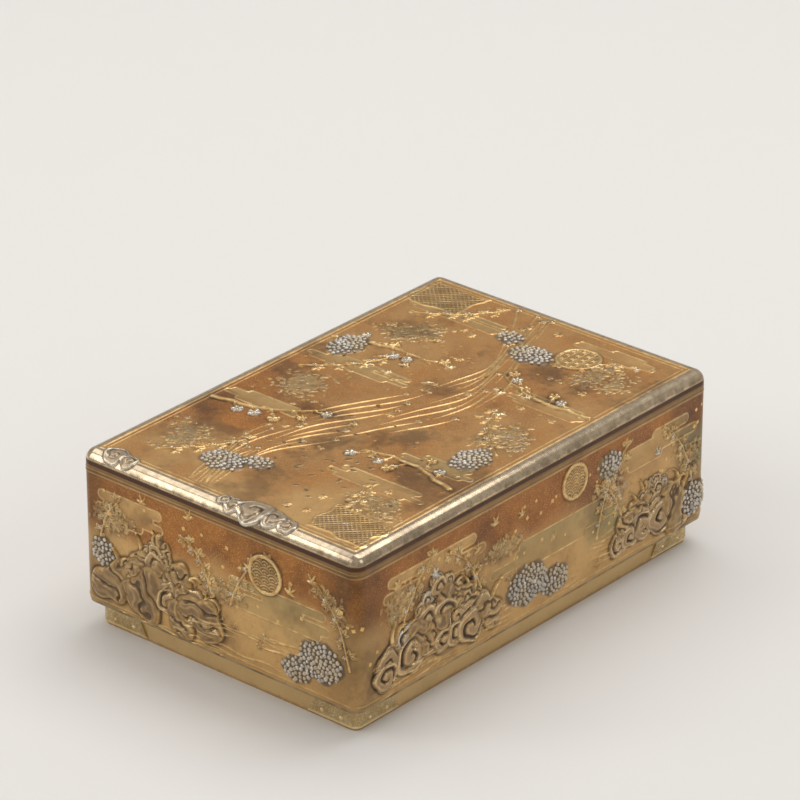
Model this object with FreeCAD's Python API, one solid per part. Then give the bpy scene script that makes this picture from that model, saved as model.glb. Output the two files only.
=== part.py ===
import FreeCAD, Part
import math
import os

# Shogi piece box, in millimetres. A deep cover shell is lowered over an inner box until its ceiling rests
# on the inner box's metal rim, and the inner box's foot stays in sight below the cover's lower edge.
# The box stands on Z = 0 with its middle on the Z axis. X runs across the ends, Y along the long sides.
# The front end faces -Y, the back end +Y, the left side -X and the right side +X.

Vec = FreeCAD.Vector

# Overall sizes of the closed box
COVER_WIDTH = 118.0  # across the ends, X
COVER_LENGTH = 178.0  # along the long sides, Y
CLOSED_HEIGHT = 64.0
FOOT_REVEAL = 9.0  # height of the cover's lower edge above the ground

# Cover
COVER_WALL = 3.5
COVER_TOP_THICKNESS = 4.0
COVER_CORNER_RADIUS = 4.0  # upright corners
TOP_EDGE_RADIUS = 3.6  # rounding all around the top
ROUNDING_MARGIN = 0.3  # least by which that rounding stays under the corner radius and the top board
COVER_RIM_HEIGHT = 1.0  # metal edging under the cover's boards
COVER_FIT = 0.5  # gap on each side between the cover and the inner box

# Inner box
BOX_WALL = 4.0
BOTTOM_THICKNESS = 5.0
BOX_CORNER_RADIUS = 2.5
BOX_RIM_HEIGHT = 0.8  # metal edging on top of the inner box's boards

# Keys let into the mitred corners
KEY_THICKNESS = 1.2
KEY_WEB = 1.0  # wood left between a key and the inside of its corner
KEYS_PER_CORNER = 3

# Bamboo pegs
PEG_DIAMETER = 1.4
PEG_IN_BOARD = 11.0  # length held by the upright board
PEG_SKIN = 0.5  # wood or filler over each peg's head
PEGS_PER_END = 2
PEGS_PER_SIDE = 4

# Corner mounts of the foot
MOUNT_THICKNESS = 0.6
MOUNT_LEG = 20.0  # from the corner to the tip, along each face
MOUNT_SLANT = 3.5  # how far the leg's end leans back from its tip
MOUNT_ABOVE_GROUND = 1.0
MOUNT_BELOW_COVER = 1.5
PIN_DIAMETER = 0.7
PIN_LENGTH = 2.4  # below the head
PIN_HEAD_DIAMETER = 1.5
PIN_HEAD_HEIGHT = 0.45
PIN_BELOW_SEAM = 1.8  # from the bottom board's upper face down to the row of pins
PIN_FROM_CORNER = 6.0
PIN_FROM_TIP = 6.0

# Worked out from the sizes above
edge_rounding = min(TOP_EDGE_RADIUS, min(COVER_CORNER_RADIUS, COVER_TOP_THICKNESS) - ROUNDING_MARGIN)
cover_ceiling = CLOSED_HEIGHT - COVER_TOP_THICKNESS
cover_boards_low = FOOT_REVEAL + COVER_RIM_HEIGHT
box_width = COVER_WIDTH - 2 * (COVER_WALL + COVER_FIT)
box_length = COVER_LENGTH - 2 * (COVER_WALL + COVER_FIT)
box_boards_high = cover_ceiling - BOX_RIM_HEIGHT
mount_high = FOOT_REVEAL - MOUNT_BELOW_COVER
pin_height = BOTTOM_THICKNESS - PIN_BELOW_SEAM

SIDES = ("front", "back", "left", "right")


def rounded_block(width, length, low, high, corner_radius):
    """A block about the Z axis with its four upright edges rounded."""
    block = Part.makeBox(width, length, high - low, Vec(-width / 2, -length / 2, low))
    upright = [e for e in block.Edges if abs(e.Vertexes[0].Z - e.Vertexes[1].Z) > (high - low) / 2]
    return block.makeFillet(corner_radius, upright)


def mitre_wedge(side, width, length, low, high, wall):
    """The space of one board of a four-board frame, between the 45 degree planes through its corners."""
    past = 1.0  # how far the wedge runs on past the board, outside and inside
    deep = wall + past
    along, across = (width, length) if side in ("front", "back") else (length, width)
    turn = {"front": 0, "right": 90, "back": 180, "left": 270}
    outline = [
        Vec(-along / 2 - past, -across / 2 - past, low),
        Vec(along / 2 + past, -across / 2 - past, low),
        Vec(along / 2 - deep, -across / 2 + deep, low),
        Vec(-along / 2 + deep, -across / 2 + deep, low),
    ]
    wedge = Part.Face(Part.makePolygon(outline + outline[:1])).extrude(Vec(0, 0, high - low))
    wedge.rotate(Vec(0, 0, 0), Vec(0, 0, 1), turn[side])
    return wedge


def mitred_frame(width, length, low, high, wall, corner_radius):
    """Four boards around the Z axis, mitred at the corners: a dictionary of side to solid."""
    inside = Part.makeBox(
        width - 2 * wall, length - 2 * wall, high - low, Vec(wall - width / 2, wall - length / 2, low)
    )
    ring = rounded_block(width, length, low, high, corner_radius).cut(inside)
    return {side: ring.common(mitre_wedge(side, width, length, low, high, wall)) for side in SIDES}


def corner_keys(width, length, low, high, wall, corner_radius):
    """Thin three-cornered keys across each mitre, flush with the outside and evenly spaced in height."""
    reach = 2 * wall - KEY_WEB * math.sqrt(2)
    step = (high - low) / KEYS_PER_CORNER
    keys = []
    for level in range(KEYS_PER_CORNER):
        bottom = low + (level + 0.5) * step - KEY_THICKNESS / 2
        slab = rounded_block(width, length, bottom, bottom + KEY_THICKNESS, corner_radius)
        for sx in (-1, 1):
            for sy in (-1, 1):
                corner = Vec(sx * width / 2, sy * length / 2, bottom)
                outline = [corner, corner - Vec(sx * reach, 0, 0), corner - Vec(0, sy * reach, 0), corner]
                wedge = Part.Face(Part.makePolygon(outline)).extrude(Vec(0, 0, KEY_THICKNESS))
                keys.append(slab.common(wedge))
    return keys


def wall_pegs(width, length, wall, low, high):
    """Upright pegs on the middle line of the four boards, spaced evenly along each."""
    spots = []
    for i in range(PEGS_PER_END):
        x = ((i + 0.5) / PEGS_PER_END - 0.5) * (width - 2 * wall)
        spots += [(x, -(length - wall) / 2), (x, (length - wall) / 2)]
    for i in range(PEGS_PER_SIDE):
        y = ((i + 0.5) / PEGS_PER_SIDE - 0.5) * (length - 2 * wall)
        spots += [(-(width - wall) / 2, y), ((width - wall) / 2, y)]
    return [Part.makeCylinder(PEG_DIAMETER / 2, high - low, Vec(x, y, low)) for x, y in spots]


def peg_head_depth(wall, rounding):
    """How far below a rounded edge's flat a peg on the wall's middle line has to stop to stay covered."""
    from_edge = wall / 2 - PEG_DIAMETER / 2
    if from_edge >= rounding:
        return PEG_SKIN
    return PEG_SKIN + rounding - math.sqrt(rounding**2 - (rounding - from_edge) ** 2)


def cut_by(solid, tools):
    """The solid with the seats of all these pieces cut out of it."""
    near = [tool for tool in tools if solid.BoundBox.intersect(tool.BoundBox)]
    return solid.cut(near) if near else solid


def mount_profile(face_turn, tip_side, width, length):
    """The outline of one leg of a corner mount as a prism through its face: square at the corner, slanted at
    the end, with the tip at the leg's lower edge."""
    along = width if face_turn in (0, 180) else length
    across = length if face_turn in (0, 180) else width
    # each leg starts one plate outside the corner, so that the two legs share the corner's outside
    start = tip_side * (along / 2 + MOUNT_THICKNESS)
    tip = tip_side * (along / 2 - MOUNT_LEG)
    slanted = tip + tip_side * MOUNT_SLANT
    y = -across / 2 - 2 * MOUNT_THICKNESS
    outline = [
        Vec(start, y, MOUNT_ABOVE_GROUND),
        Vec(tip, y, MOUNT_ABOVE_GROUND),
        Vec(slanted, y, mount_high),
        Vec(start, y, mount_high),
    ]
    depth = 2 * MOUNT_THICKNESS + BOX_CORNER_RADIUS
    leg = Part.Face(Part.makePolygon(outline + outline[:1])).extrude(Vec(0, depth, 0))
    leg.rotate(Vec(0, 0, 0), Vec(0, 0, 1), face_turn)
    return leg


def mount_pin(face_turn, along_face, across):
    """One round-headed pin, driven square into a face of the foot through a corner mount."""
    seat = -across / 2 - MOUNT_THICKNESS
    into_wood = Vec(0, 1, 0)
    shank = Part.makeCylinder(PIN_DIAMETER / 2, PIN_LENGTH, Vec(along_face, seat, pin_height), into_wood)
    head_radius = PIN_HEAD_DIAMETER / 2
    ball_radius = (head_radius**2 + PIN_HEAD_HEIGHT**2) / (2 * PIN_HEAD_HEIGHT)
    ball_middle = Vec(along_face, seat - PIN_HEAD_HEIGHT + ball_radius, pin_height)
    slab = Part.makeBox(
        PIN_HEAD_DIAMETER,
        PIN_HEAD_HEIGHT,
        PIN_HEAD_DIAMETER,
        Vec(along_face - head_radius, seat - PIN_HEAD_HEIGHT, pin_height - head_radius),
    )
    head = Part.makeSphere(ball_radius, ball_middle).common(slab)
    pin = head.fuse(shank).removeSplitter()
    pin.rotate(Vec(0, 0, 0), Vec(0, 0, 1), face_turn)
    return pin


nodes = {}

# Cover: the top board lies on four mitred boards, and metal edging closes their lower ends.
top_board = rounded_block(COVER_WIDTH, COVER_LENGTH, cover_ceiling, CLOSED_HEIGHT, COVER_CORNER_RADIUS)
top_face = max(top_board.Faces, key=lambda face: face.CenterOfMass.z)
top_board = top_board.makeFillet(edge_rounding, top_face.Edges)
cover_boards = mitred_frame(
    COVER_WIDTH, COVER_LENGTH, cover_boards_low, cover_ceiling, COVER_WALL, COVER_CORNER_RADIUS
)
cover_keys = corner_keys(
    COVER_WIDTH, COVER_LENGTH, cover_boards_low, cover_ceiling, COVER_WALL, COVER_CORNER_RADIUS
)
cover_pegs = wall_pegs(
    COVER_WIDTH,
    COVER_LENGTH,
    COVER_WALL,
    cover_ceiling - PEG_IN_BOARD,
    CLOSED_HEIGHT - peg_head_depth(COVER_WALL, edge_rounding),
)
nodes["cover_top_board"] = cut_by(top_board, cover_pegs)
for side, board in cover_boards.items():
    nodes[f"cover_{side}_board"] = cut_by(board, cover_keys + cover_pegs)
nodes["cover_corner_keys"] = Part.makeCompound(cover_keys)
nodes["cover_top_pegs"] = Part.makeCompound(cover_pegs)
cover_rim = mitred_frame(
    COVER_WIDTH, COVER_LENGTH, FOOT_REVEAL, cover_boards_low, COVER_WALL, COVER_CORNER_RADIUS
)
for side, strip in cover_rim.items():
    nodes[f"cover_rim_{side}"] = strip

# Inner box: four mitred boards stand on the bottom board, and metal edging covers their upper ends.
box_boards = mitred_frame(
    box_width, box_length, BOTTOM_THICKNESS, box_boards_high, BOX_WALL, BOX_CORNER_RADIUS
)
box_keys = corner_keys(
    box_width, box_length, BOTTOM_THICKNESS, box_boards_high, BOX_WALL, BOX_CORNER_RADIUS
)
box_pegs = wall_pegs(box_width, box_length, BOX_WALL, PEG_SKIN, BOTTOM_THICKNESS + PEG_IN_BOARD)
bottom_board = rounded_block(box_width, box_length, 0, BOTTOM_THICKNESS, BOX_CORNER_RADIUS)
box_rim = mitred_frame(box_width, box_length, box_boards_high, cover_ceiling, BOX_WALL, BOX_CORNER_RADIUS)

# Corner mounts: a bent plate around each corner of the foot, with two pins in each leg.
plate_ring = rounded_block(
    box_width + 2 * MOUNT_THICKNESS,
    box_length + 2 * MOUNT_THICKNESS,
    MOUNT_ABOVE_GROUND,
    mount_high,
    BOX_CORNER_RADIUS + MOUNT_THICKNESS,
).cut(rounded_block(box_width, box_length, MOUNT_ABOVE_GROUND, mount_high, BOX_CORNER_RADIUS))
# each corner: its name, then (turn of the face, which end of that face) for its two legs
MOUNT_LEGS = {
    "front_left": ((0, -1), (270, 1)),
    "front_right": ((0, 1), (90, -1)),
    "back_right": ((90, 1), (180, -1)),
    "back_left": ((180, 1), (270, -1)),
}
pins = []
for corner, legs in MOUNT_LEGS.items():
    prism = mount_profile(*legs[0], box_width, box_length).fuse(
        mount_profile(*legs[1], box_width, box_length)
    )
    corner_pins = []
    for face_turn, end in legs:
        along = box_width if face_turn in (0, 180) else box_length
        across = box_length if face_turn in (0, 180) else box_width
        for distance in (PIN_FROM_CORNER, MOUNT_LEG - PIN_FROM_TIP):
            corner_pins.append(mount_pin(face_turn, end * (along / 2 - distance), across))
    nodes[f"foot_mount_{corner}"] = cut_by(plate_ring.common(prism).removeSplitter(), corner_pins)
    pins += corner_pins

nodes["box_bottom_board"] = cut_by(bottom_board, box_pegs + pins)
for side, board in box_boards.items():
    nodes[f"box_{side}_board"] = cut_by(board, box_keys + box_pegs)
nodes["box_corner_keys"] = Part.makeCompound(box_keys)
nodes["box_bottom_pegs"] = Part.makeCompound(box_pegs)
for side, strip in box_rim.items():
    nodes[f"box_rim_{side}"] = strip
nodes["foot_mount_pins"] = Part.makeCompound(pins)

os.makedirs("parts", exist_ok=True)
for name, shape in nodes.items():
    shape.exportStep(f"parts/{name}.step")
    print(name, len(shape.Solids), "solids", round(shape.Volume, 1), "mm3", shape.isValid())
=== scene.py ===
import math

import bpy
import numpy as np
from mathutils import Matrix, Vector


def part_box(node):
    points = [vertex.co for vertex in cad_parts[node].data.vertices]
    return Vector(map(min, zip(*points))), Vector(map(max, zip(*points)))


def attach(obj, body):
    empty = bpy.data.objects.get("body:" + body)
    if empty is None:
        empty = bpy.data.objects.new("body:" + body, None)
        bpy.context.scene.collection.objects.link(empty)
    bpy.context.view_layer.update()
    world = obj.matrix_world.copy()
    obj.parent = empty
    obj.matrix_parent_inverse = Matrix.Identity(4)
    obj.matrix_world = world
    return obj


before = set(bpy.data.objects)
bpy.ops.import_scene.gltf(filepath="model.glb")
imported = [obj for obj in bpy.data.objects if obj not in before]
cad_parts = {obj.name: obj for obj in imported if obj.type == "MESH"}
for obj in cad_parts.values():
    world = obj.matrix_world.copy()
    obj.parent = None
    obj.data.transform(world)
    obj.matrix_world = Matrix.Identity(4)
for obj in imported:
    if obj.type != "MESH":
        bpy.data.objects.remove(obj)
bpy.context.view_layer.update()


# ---- The place where the box is shown ----
# A pale seamless sweep of paper: a level floor that curves up into a round wall, open above. A wide panel
# high up behind on the right gives most of the light. Weaker ones draw the rounded edges and fill the sides.

VIEW_AZIMUTH, VIEW_ELEVATION = math.radians(40.7), math.radians(26.4)
VIEW_DISTANCE = 1.55
VIEW_WIDTH = 0.262  # what the frame takes in at the box
LOOK_AT = (0.0, 0.0, 0.067)  # above the box's middle, which leaves room for the lifted cover


def direction(azimuth, elevation):
    """The unit vector from the box to a place. The azimuth is counted from the front, to the right."""
    level = math.cos(elevation)
    return np.array([math.sin(azimuth) * level, -math.cos(azimuth) * level, math.sin(elevation)])


camera = bpy.data.objects.new("camera", bpy.data.cameras.new("camera"))
bpy.context.collection.objects.link(camera)
camera.location = LOOK_AT + VIEW_DISTANCE * direction(VIEW_AZIMUTH, VIEW_ELEVATION)
camera.rotation_euler = (math.pi / 2 - VIEW_ELEVATION, 0, VIEW_AZIMUTH)
camera.data.lens = camera.data.sensor_width * VIEW_DISTANCE / VIEW_WIDTH
camera.data.clip_start = 0.05
camera.data.clip_end = 50
bpy.context.scene.camera = camera
bpy.context.scene.view_settings.view_transform = "Standard"


class Socket:
    """A shader socket that Python's operators work on: an expression adds the Math nodes for it."""

    def __init__(self, tree, out):
        self.tree, self.out = tree, out

    def math(self, operation, *others):
        """A Math node that works on this value and then on the others."""
        return self.tree.node("ShaderNodeMath", {"operation": operation}, dict(enumerate((self, *others))))

    def __add__(self, other):
        return self.math("ADD", other)

    def __sub__(self, other):
        return self.math("SUBTRACT", other)

    def __rsub__(self, other):
        return self.math("MULTIPLY_ADD", -1.0, other)

    def __mul__(self, other):
        return self.math("MULTIPLY", other)

    __radd__, __rmul__ = __add__, __mul__

    def clip(self):
        return self.tree.node("ShaderNodeClamp", {}, {0: self})

    def step(self, low, high):
        """0 below low, 1 above high, and a soft rise between them."""
        values = {"Value": self, "From Min": low, "From Max": high}
        return self.tree.node("ShaderNodeMapRange", {"interpolation_type": "SMOOTHSTEP"}, values)


class Tree:
    """A node tree, and the method that adds a node with its settings and its sockets' values or links."""

    def __init__(self, tree):
        self.nodes, self.links = tree.nodes, tree.links
        self.nodes.clear()

    def node(self, kind, settings, values, output=0):
        made = self.nodes.new(kind)
        for key, value in settings.items():
            setattr(made, key, value)
        for key, value in values.items():
            if isinstance(value, Socket):
                self.links.new(value.out, made.inputs[key])
            else:
                made.inputs[key].default_value = value
        return Socket(self, made.outputs[output]) if made.outputs else None


class Finish(Tree):
    """One material, with a method for each pattern that the finishes use."""

    def __init__(self, name):
        self.material = bpy.data.materials.new(name)
        self.material.use_nodes = True
        super().__init__(self.material.node_tree)

    def place(self):
        return self.node("ShaderNodeTexCoord", {}, {}, "Object")

    def axis(self, k):
        """One coordinate of the place, in metres."""
        return self.node("ShaderNodeSeparateXYZ", {}, {0: self.place()}, k)

    def stretched(self, *scale):
        return self.node("ShaderNodeMapping", {}, {"Vector": self.place(), "Scale": scale})

    def noise(self, size_mm, detail=2.0, place=None):
        values = {"Vector": place or self.place(), "Scale": 1000 / size_mm, "Detail": detail}
        return self.node("ShaderNodeTexNoise", {}, values)

    def cells(self, size_mm, output):
        """Cells about size_mm across: output 0 is how far off each one's middle is, 1 a colour for each."""
        values = {"Vector": self.place(), "Scale": 1000 / size_mm}
        return self.node("ShaderNodeTexVoronoi", {}, values, output)

    def read(self, attribute, output):
        return self.node("ShaderNodeAttribute", {"attribute_name": attribute}, {}, output)

    def split(self, colour):
        return [self.node("ShaderNodeSeparateColor", {}, {0: colour}, k) for k in range(3)]

    def mix(self, share, first, second, blend="MIX"):
        """A colour between two, each either a triple or a link."""
        pair = [c if isinstance(c, Socket) else (*c, 1.0) for c in (first, second)]
        settings = {"data_type": "RGBA", "blend_type": blend}
        return self.node("ShaderNodeMix", settings, {0: share, 6: pair[0], 7: pair[1]}, 2)

    def bump(self, height, distance_mm, strength=0.5):
        values = {"Height": height, "Distance": distance_mm / 1000, "Strength": strength}
        return self.node("ShaderNodeBump", {}, values)

    def shade(self, colour, **values):
        """Ends the material in one Principled shader. Plain numbers are set on the shader's own sockets."""
        names = {k.replace("_", " ").title().replace("Ior", "IOR"): v for k, v in values.items()}
        names["Base Color"] = colour if isinstance(colour, Socket) else (*colour, 1.0)
        surface = self.node("ShaderNodeBsdfPrincipled", {}, names)
        self.node("ShaderNodeOutputMaterial", {}, {0: surface})
        return self.material


def srgb(red, green, blue):
    """A colour as it looks, 0 to 255, made linear."""
    parts = [c / 255 for c in (red, green, blue)]
    return tuple(c / 12.92 if c <= 0.04045 else ((c + 0.055) / 1.055) ** 2.4 for c in parts)


def mesh_object(name, mesh, body=None):
    piece = bpy.data.objects.new(name, mesh)
    bpy.context.collection.objects.link(piece)
    if body:
        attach(piece, body)
    return piece


def quads(rows):
    """The four-cornered faces between rows of point numbers."""
    return np.stack([rows[:-1, :-1], rows[:-1, 1:], rows[1:, 1:], rows[1:, :-1]], -1).reshape(-1, 4)


PAPER = srgb(236, 234, 231)
FLOOR_RADIUS, BEND_RADIUS, WALL_HEIGHT = 2.2, 0.9, 2.6
SWEEP_SIDES = 96


def paper_sweep():
    """A level floor whose edge curves up into a round wall, turned about the box."""
    bend = np.linspace(0, math.pi / 2, 17)
    out = np.r_[0.4, 1.2, FLOOR_RADIUS + BEND_RADIUS * np.sin(bend), FLOOR_RADIUS + BEND_RADIUS]
    up = np.r_[0, 0, BEND_RADIUS * (1 - np.cos(bend)), WALL_HEIGHT]
    turn = np.linspace(0, 2 * math.pi, SWEEP_SIDES, endpoint=False)
    level = np.outer(up, np.ones(SWEEP_SIDES))
    rings = np.stack([np.outer(out, np.cos(turn)), np.outer(out, np.sin(turn)), level], -1)
    numbers = np.arange(level.size).reshape(level.shape)
    faces = quads(np.c_[numbers, numbers[:, 0]])[:, ::-1]
    mesh = bpy.data.meshes.new("paper_sweep")
    mesh.from_pydata(rings.reshape(-1, 3).tolist(), [], [numbers[0].tolist(), *faces.tolist()])
    mesh.shade_smooth()
    mesh.materials.append(Finish("paper").shade(PAPER, roughness=0.9))
    mesh_object("paper_sweep", mesh)


def soft_panel(name, azimuth, elevation, distance, size, power, colour):
    """A light panel that faces the box. The azimuth is counted from the viewer's, to the right."""
    lamp = bpy.data.lights.new(name, "AREA")
    lamp.shape = "RECTANGLE"
    lamp.size, lamp.size_y = size
    lamp.energy, lamp.color = power, colour
    panel = bpy.data.objects.new(name, lamp)
    bpy.context.collection.objects.link(panel)
    turn = VIEW_AZIMUTH + math.radians(azimuth)
    tilt = math.radians(elevation)
    panel.location = LOOK_AT + distance * direction(turn, tilt)
    panel.rotation_euler = (math.pi / 2 - tilt, 0, turn)


NEUTRAL, WARM, COOL = (1.0, 0.99, 0.98), (1.0, 0.98, 0.96), (0.98, 0.99, 1.0)

paper_sweep()
soft_panel("overhead_panel", 140, 66, 1.5, (1.2, 1.0), 9.0, NEUTRAL)
soft_panel("edge_panel", -135, 54, 1.4, (1.0, 0.6), 1.8, NEUTRAL)
soft_panel("low_panel", -86, 27, 1.4, (0.4, 1.15), 2.8, NEUTRAL)
soft_panel("left_panel", -58, 44, 1.6, (0.8, 0.8), 1.8, WARM)
soft_panel("right_panel", 62, 34, 1.8, (0.8, 0.8), 2.8, COOL)

world = bpy.data.worlds.new("studio")
bpy.context.scene.world = world
world.use_nodes = True
sky = world.node_tree.nodes["Background"]
sky.inputs["Color"].default_value = (*srgb(240, 238, 235), 1.0)
sky.inputs["Strength"].default_value = 0.6


# ---- Inner box: the bottom board and four boards ----
# Thin cypress boards, mitred and keyed, then ground and lacquered all over. Flakes of gold in amber lacquer
# cover them inside and out, and the foot that shows below the cover is dusted with fine gold powder.

AMBER_LACQUER, AMBER_DEEP = srgb(170, 106, 38), srgb(138, 80, 28)
FLAKE_GOLD, FLAKE_PALE = srgb(198, 136, 60), srgb(224, 176, 98)
# The palest powder gold is painted light for the foot, which lies in the cover's shade.
POWDER_GOLD, POWDER_WORN, FOOT_FILL_LIGHT_GOLD = srgb(214, 184, 126), srgb(180, 147, 96), srgb(228, 206, 154)


def pear_skin(finish):
    """Gold flakes of two sizes in amber lacquer: its colour, and the flakes alone."""
    cloud = finish.noise(14.0, 6.0)
    colour = finish.mix(cloud.step(0.28, 0.66), AMBER_DEEP, AMBER_LACQUER)
    flakes = None
    for size, share, hold in ((0.36, 0.28, 0.42), (0.22, 0.42, 0.40)):
        lot = finish.split(finish.cells(size, 1))
        drawn = lot[0].step(1 - share, 1 - share + 0.1) * (1 - finish.cells(size, 0).step(hold, hold + 0.12))
        gold = finish.mix(lot[1], FLAKE_GOLD, FLAKE_PALE)
        colour = finish.mix(drawn * (0.55 + 0.45 * lot[2]), colour, gold)
        flakes = drawn if flakes is None else flakes.math("MAXIMUM", drawn)
    return colour, flakes


def gold_powder(finish):
    """Fine gold powder, close laid and rubbed thin in places: its colour, and its grain."""
    worn = finish.noise(14.0, 4.0).step(0.4, 0.68) * 0.6 + finish.noise(1.3, 4.0).step(0.5, 0.8) * 0.4
    grain = finish.noise(0.2, 1.0)
    colour = finish.mix(worn, POWDER_GOLD, POWDER_WORN)
    grains = finish.mix(grain.step(0.3, 0.7), AMBER_DEEP, FLAKE_PALE)
    return finish.mix(0.28, colour, grains, "OVERLAY"), grain


def box_lacquer():
    """Gold flakes all over, and gold powder on the outside below the cover, rubbed bare along the ground. The
    powder there is made paler as painted light on the shaded foot.
    """
    f = Finish("box_lacquer")
    foot_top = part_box("cover_rim_front")[0].z
    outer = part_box("box_bottom_board")[1]
    x, y, height = (f.axis(k) for k in range(3))
    outwards = x.math("ABSOLUTE").step(outer.x - 0.002, outer.x - 0.0015)
    outwards = outwards.math("MAXIMUM", y.math("ABSOLUTE").step(outer.y - 0.002, outer.y - 0.0015))
    foot = outwards - outwards * (height + 0.0006 * f.noise(3.0)).step(foot_top + 0.0006, foot_top + 0.0012)
    flaked, flakes = pear_skin(f)
    powdered, grain = gold_powder(f)
    sprinkled = flakes * (height + 0.003 * f.noise(9.0)).step(0.0045, 0.008) * 0.5
    # The foot's powder is mixed half with a paler gold: painted light that lifts the shade under the cover.
    powdered = f.mix(sprinkled, f.mix(0.5, powdered, FOOT_FILL_LIGHT_GOLD), FLAKE_PALE)
    rubbed = foot * (height + 0.0016 * f.noise(2.0, 5.0)).step(0.0022, 0.0008)
    return f.shade(
        f.mix(rubbed * 0.5, f.mix(foot, flaked, powdered), AMBER_DEEP),
        metallic=0.3 + 0.4 * flakes + (0.4 - 0.4 * flakes) * foot,
        roughness=0.3 + 0.12 * foot + 0.1 * f.noise(5.0),
        normal=f.bump(flakes * 0.6 + grain * 0.4, 0.05),
        coat_weight=0.35,
        coat_roughness=0.12,
    )


def give_finish(material, *nodes):
    for node in nodes:
        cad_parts[node].data.materials[0] = material


BOX_LACQUER = box_lacquer()
for board in ("bottom", "front", "back", "left", "right"):
    give_finish(BOX_LACQUER, f"box_{board}_board")


# ---- Keys and pegs ----
# Hardwood keys and split bamboo pegs, sawn and whittled to size, and glued in. They show only where a board
# is taken off, because the lacquer runs over the keys where they come out at the corners.

KEY_LIGHT, KEY_DARK = srgb(168, 118, 74), srgb(112, 72, 42)
BAMBOO_LIGHT, BAMBOO_DARK = srgb(206, 176, 122), srgb(168, 132, 82)


def bare_wood(name, light, dark, rings_mm, corner=None, rounding=0.0):
    """Wood with its grain upright. Past the rounded corner, where one is given, it is lacquered over."""
    f = Finish(name)
    grain = f.noise(rings_mm, 4.0, f.stretched(1.0, 1.0, 0.15))
    colour = f.mix(grain, light, dark)
    if corner:
        x, y = (f.axis(k).math("ABSOLUTE") for k in range(2))
        x, y = x - (corner.x - rounding), y - (corner.y - rounding)
        out = (x * x + y * y).math("SQRT")
        colour = f.mix(out.step(rounding - 0.0003, rounding - 0.0002), colour, pear_skin(f)[0])
    return f.shade(colour, roughness=0.5 + 0.2 * grain)


give_finish(bare_wood("bamboo", BAMBOO_LIGHT, BAMBOO_DARK, 0.35), "box_bottom_pegs", "cover_top_pegs")
for body, board, corner_radius in (("box", "box_bottom_board", 0.0025), ("cover", "cover_top_board", 0.004)):
    key_wood = bare_wood(f"{body}_key_wood", KEY_LIGHT, KEY_DARK, 0.8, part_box(board)[1], corner_radius)
    give_finish(key_wood, f"{body}_corner_keys")


# ---- Metal edging ----
# Strips of tin, mitred and pressed over the boards' ends where the cover and the box rub. The metal has gone
# grey, with fine scratches along the strips and the gold of the lacquer worn on to it.


def worn_tin():
    f = Finish("worn_tin")
    patina = f.noise(6.0, 4.0)
    scratches = f.noise(0.35, 3.0, f.stretched(0.2, 0.2, 3.0))
    colour = f.mix(patina.step(0.35, 0.7), srgb(170, 150, 114), srgb(118, 97, 66))
    return f.shade(
        f.mix(0.25 * scratches, colour, srgb(214, 198, 164)),
        metallic=0.75,
        roughness=0.34 + 0.2 * patina,
        normal=f.bump(scratches, 0.02),
    )


WORN_TIN = worn_tin()
for side in ("front", "back", "left", "right"):
    give_finish(WORN_TIN, f"box_rim_{side}", f"cover_rim_{side}")


# ---- Corner mounts of the foot ----
# Bent copper plate, fire-gilt, with a plain border around a ground of fine punched dots. Each is held by four
# round-headed pins. The gilding has dulled unevenly, and dirt lies between the dots.


def gilt_copper(name, dotted):
    f = Finish(name)
    dulled = f.noise(4.0, 4.0).step(0.3, 0.75)
    colour = f.mix(dulled, srgb(246, 224, 174), srgb(212, 182, 128))
    if not dotted:
        hammered = f.bump(f.noise(0.5), 0.03)
        return f.shade(colour, metallic=0.85, roughness=0.24 + 0.12 * dulled, normal=hammered)
    low, high = (c.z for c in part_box("foot_mount_front_left"))
    height = f.axis(2)
    ground = height.step(low + 0.0005, low + 0.0009) * height.step(high - 0.0005, high - 0.0009)
    dots = 1 - f.cells(0.62, 0).step(0.1, 0.52)
    return f.shade(
        f.mix(ground * (1 - dots) * 0.5, colour, srgb(126, 98, 58)),
        metallic=0.7,
        roughness=0.3 + 0.14 * dulled,
        normal=f.bump(dots * ground + (1 - ground) * 2.2, 0.07, 0.7),
    )


GILT_PLATE = gilt_copper("gilt_plate", True)
for corner in ("front_left", "front_right", "back_right", "back_left"):
    give_finish(GILT_PLATE, f"foot_mount_{corner}")
give_finish(gilt_copper("gilt_pin", False), "foot_mount_pins")


# ---- Cover: the top board and four boards ----
# The same make as the inner box. Their insides keep a plain coat of gold flakes, seen when the cover is off,
# and their outsides disappear under the thick lacquer with the raised work.

for board in ("top", "front", "back", "left", "right"):
    give_finish(BOX_LACQUER, f"cover_{board}_board")


# ---- Cover: the lacquer ground ----
# Cloth, clay ground and many coats of lacquer make one hard skin over the boards. It is made as sheets of
# points: one for each side, bent round the upright corners and over the top edge, and two for the flat top.

MM = 0.001
SKIN = 0.25  # thickness of the lacquer over the boards
CORNER, EDGE = 4.0, 3.6  # rounding of the upright corners and of the top edge
HALF_WIDTH, HALF_LENGTH, CROWN = (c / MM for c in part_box("cover_top_board")[1])
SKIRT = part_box("cover_rim_front")[1].z / MM  # where the lacquer starts, over the cover's metal edging
SHOULDER = CROWN - EDGE  # where the top edge starts to round over
SIDES_TOP = SHOULDER + EDGE * math.pi / 2  # height along the skin where the flat top starts
FLAT_X, FLAT_Y = HALF_WIDTH - EDGE, HALF_LENGTH - EDGE
SHORT_SIDE, LONG_SIDE = 2 * (HALF_WIDTH - CORNER), 2 * (HALF_LENGTH - CORNER)
BEND = CORNER * math.pi / 2
AROUND = 2 * (SHORT_SIDE + LONG_SIDE) + 4 * BEND
FIRST_TURN = SHORT_SIDE / 2 + BEND / 2  # the middle of the first corner, counted from the front's middle
SECOND_TURN = FIRST_TURN + LONG_SIDE + BEND
END_STEP, SIDE_STEP, TOP_STEP = 0.27, 0.33, 0.32  # from point to point
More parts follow.
